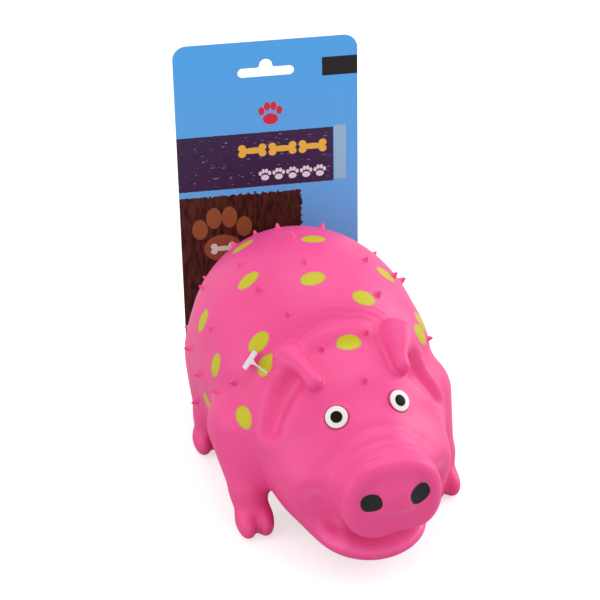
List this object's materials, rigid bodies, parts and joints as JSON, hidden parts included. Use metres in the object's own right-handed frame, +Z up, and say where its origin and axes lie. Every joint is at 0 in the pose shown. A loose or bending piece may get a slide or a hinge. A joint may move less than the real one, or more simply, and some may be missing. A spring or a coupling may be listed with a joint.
{
  "type": "latex dog toy",
  "caption": "Latex pig dog toy with a spotted, nubbed hollow skin, fibre filling, a belly sounder with a reed, and a hang card fixed to its rump by tag pins.",
  "frame": {"origin": "middle of the footprint of the toy with its card, on the surface that it stands on", "axes": "+Z up, the snout towards -Y, +X to the toy's left flank"},
  "size_m": [0.1374, 0.2362, 0.2156],
  "materials": {
    "pink_latex": "satin",
    "fibre": "loose",
    "sounder_plastic": "satin",
    "reed_film": "glossy",
    "printed_card": "coated",
    "tag_nylon": "translucent"
  },
  "bodies": {
    "toy": {"latex_skin": "pink_latex", "fibre_filling": "fibre", "grunter_barrel": "sounder_plastic", "grunter_vent_cap": "sounder_plastic", "grunter_fibre_guard": "sounder_plastic", "grunter_reed_block": "sounder_plastic", "grunter_reed": "reed_film", "grunter_reed_wedge": "sounder_plastic", "card_tag_pin_right": "tag_nylon", "card_tag_pin_left": "tag_nylon"},
    "card": {"hang_card": "printed_card"},
    "tag_pin": {"flank_tag_pin": "tag_nylon"}
  },
  "joints": [
    {"name": "card_tilt", "type": "hinge", "parent": "toy", "child": "card", "pos_m": [0.00717, 0.10921, 0.064], "axis": [0.9863, -0.165, 0], "range_deg": [-14, 8]},
    {"name": "tag_pin_slide", "type": "slide", "parent": "toy", "child": "tag_pin", "axis": [-0.6701, -0.4211, 0.6113], "range_m": [0, 0.003]}
  ]
}
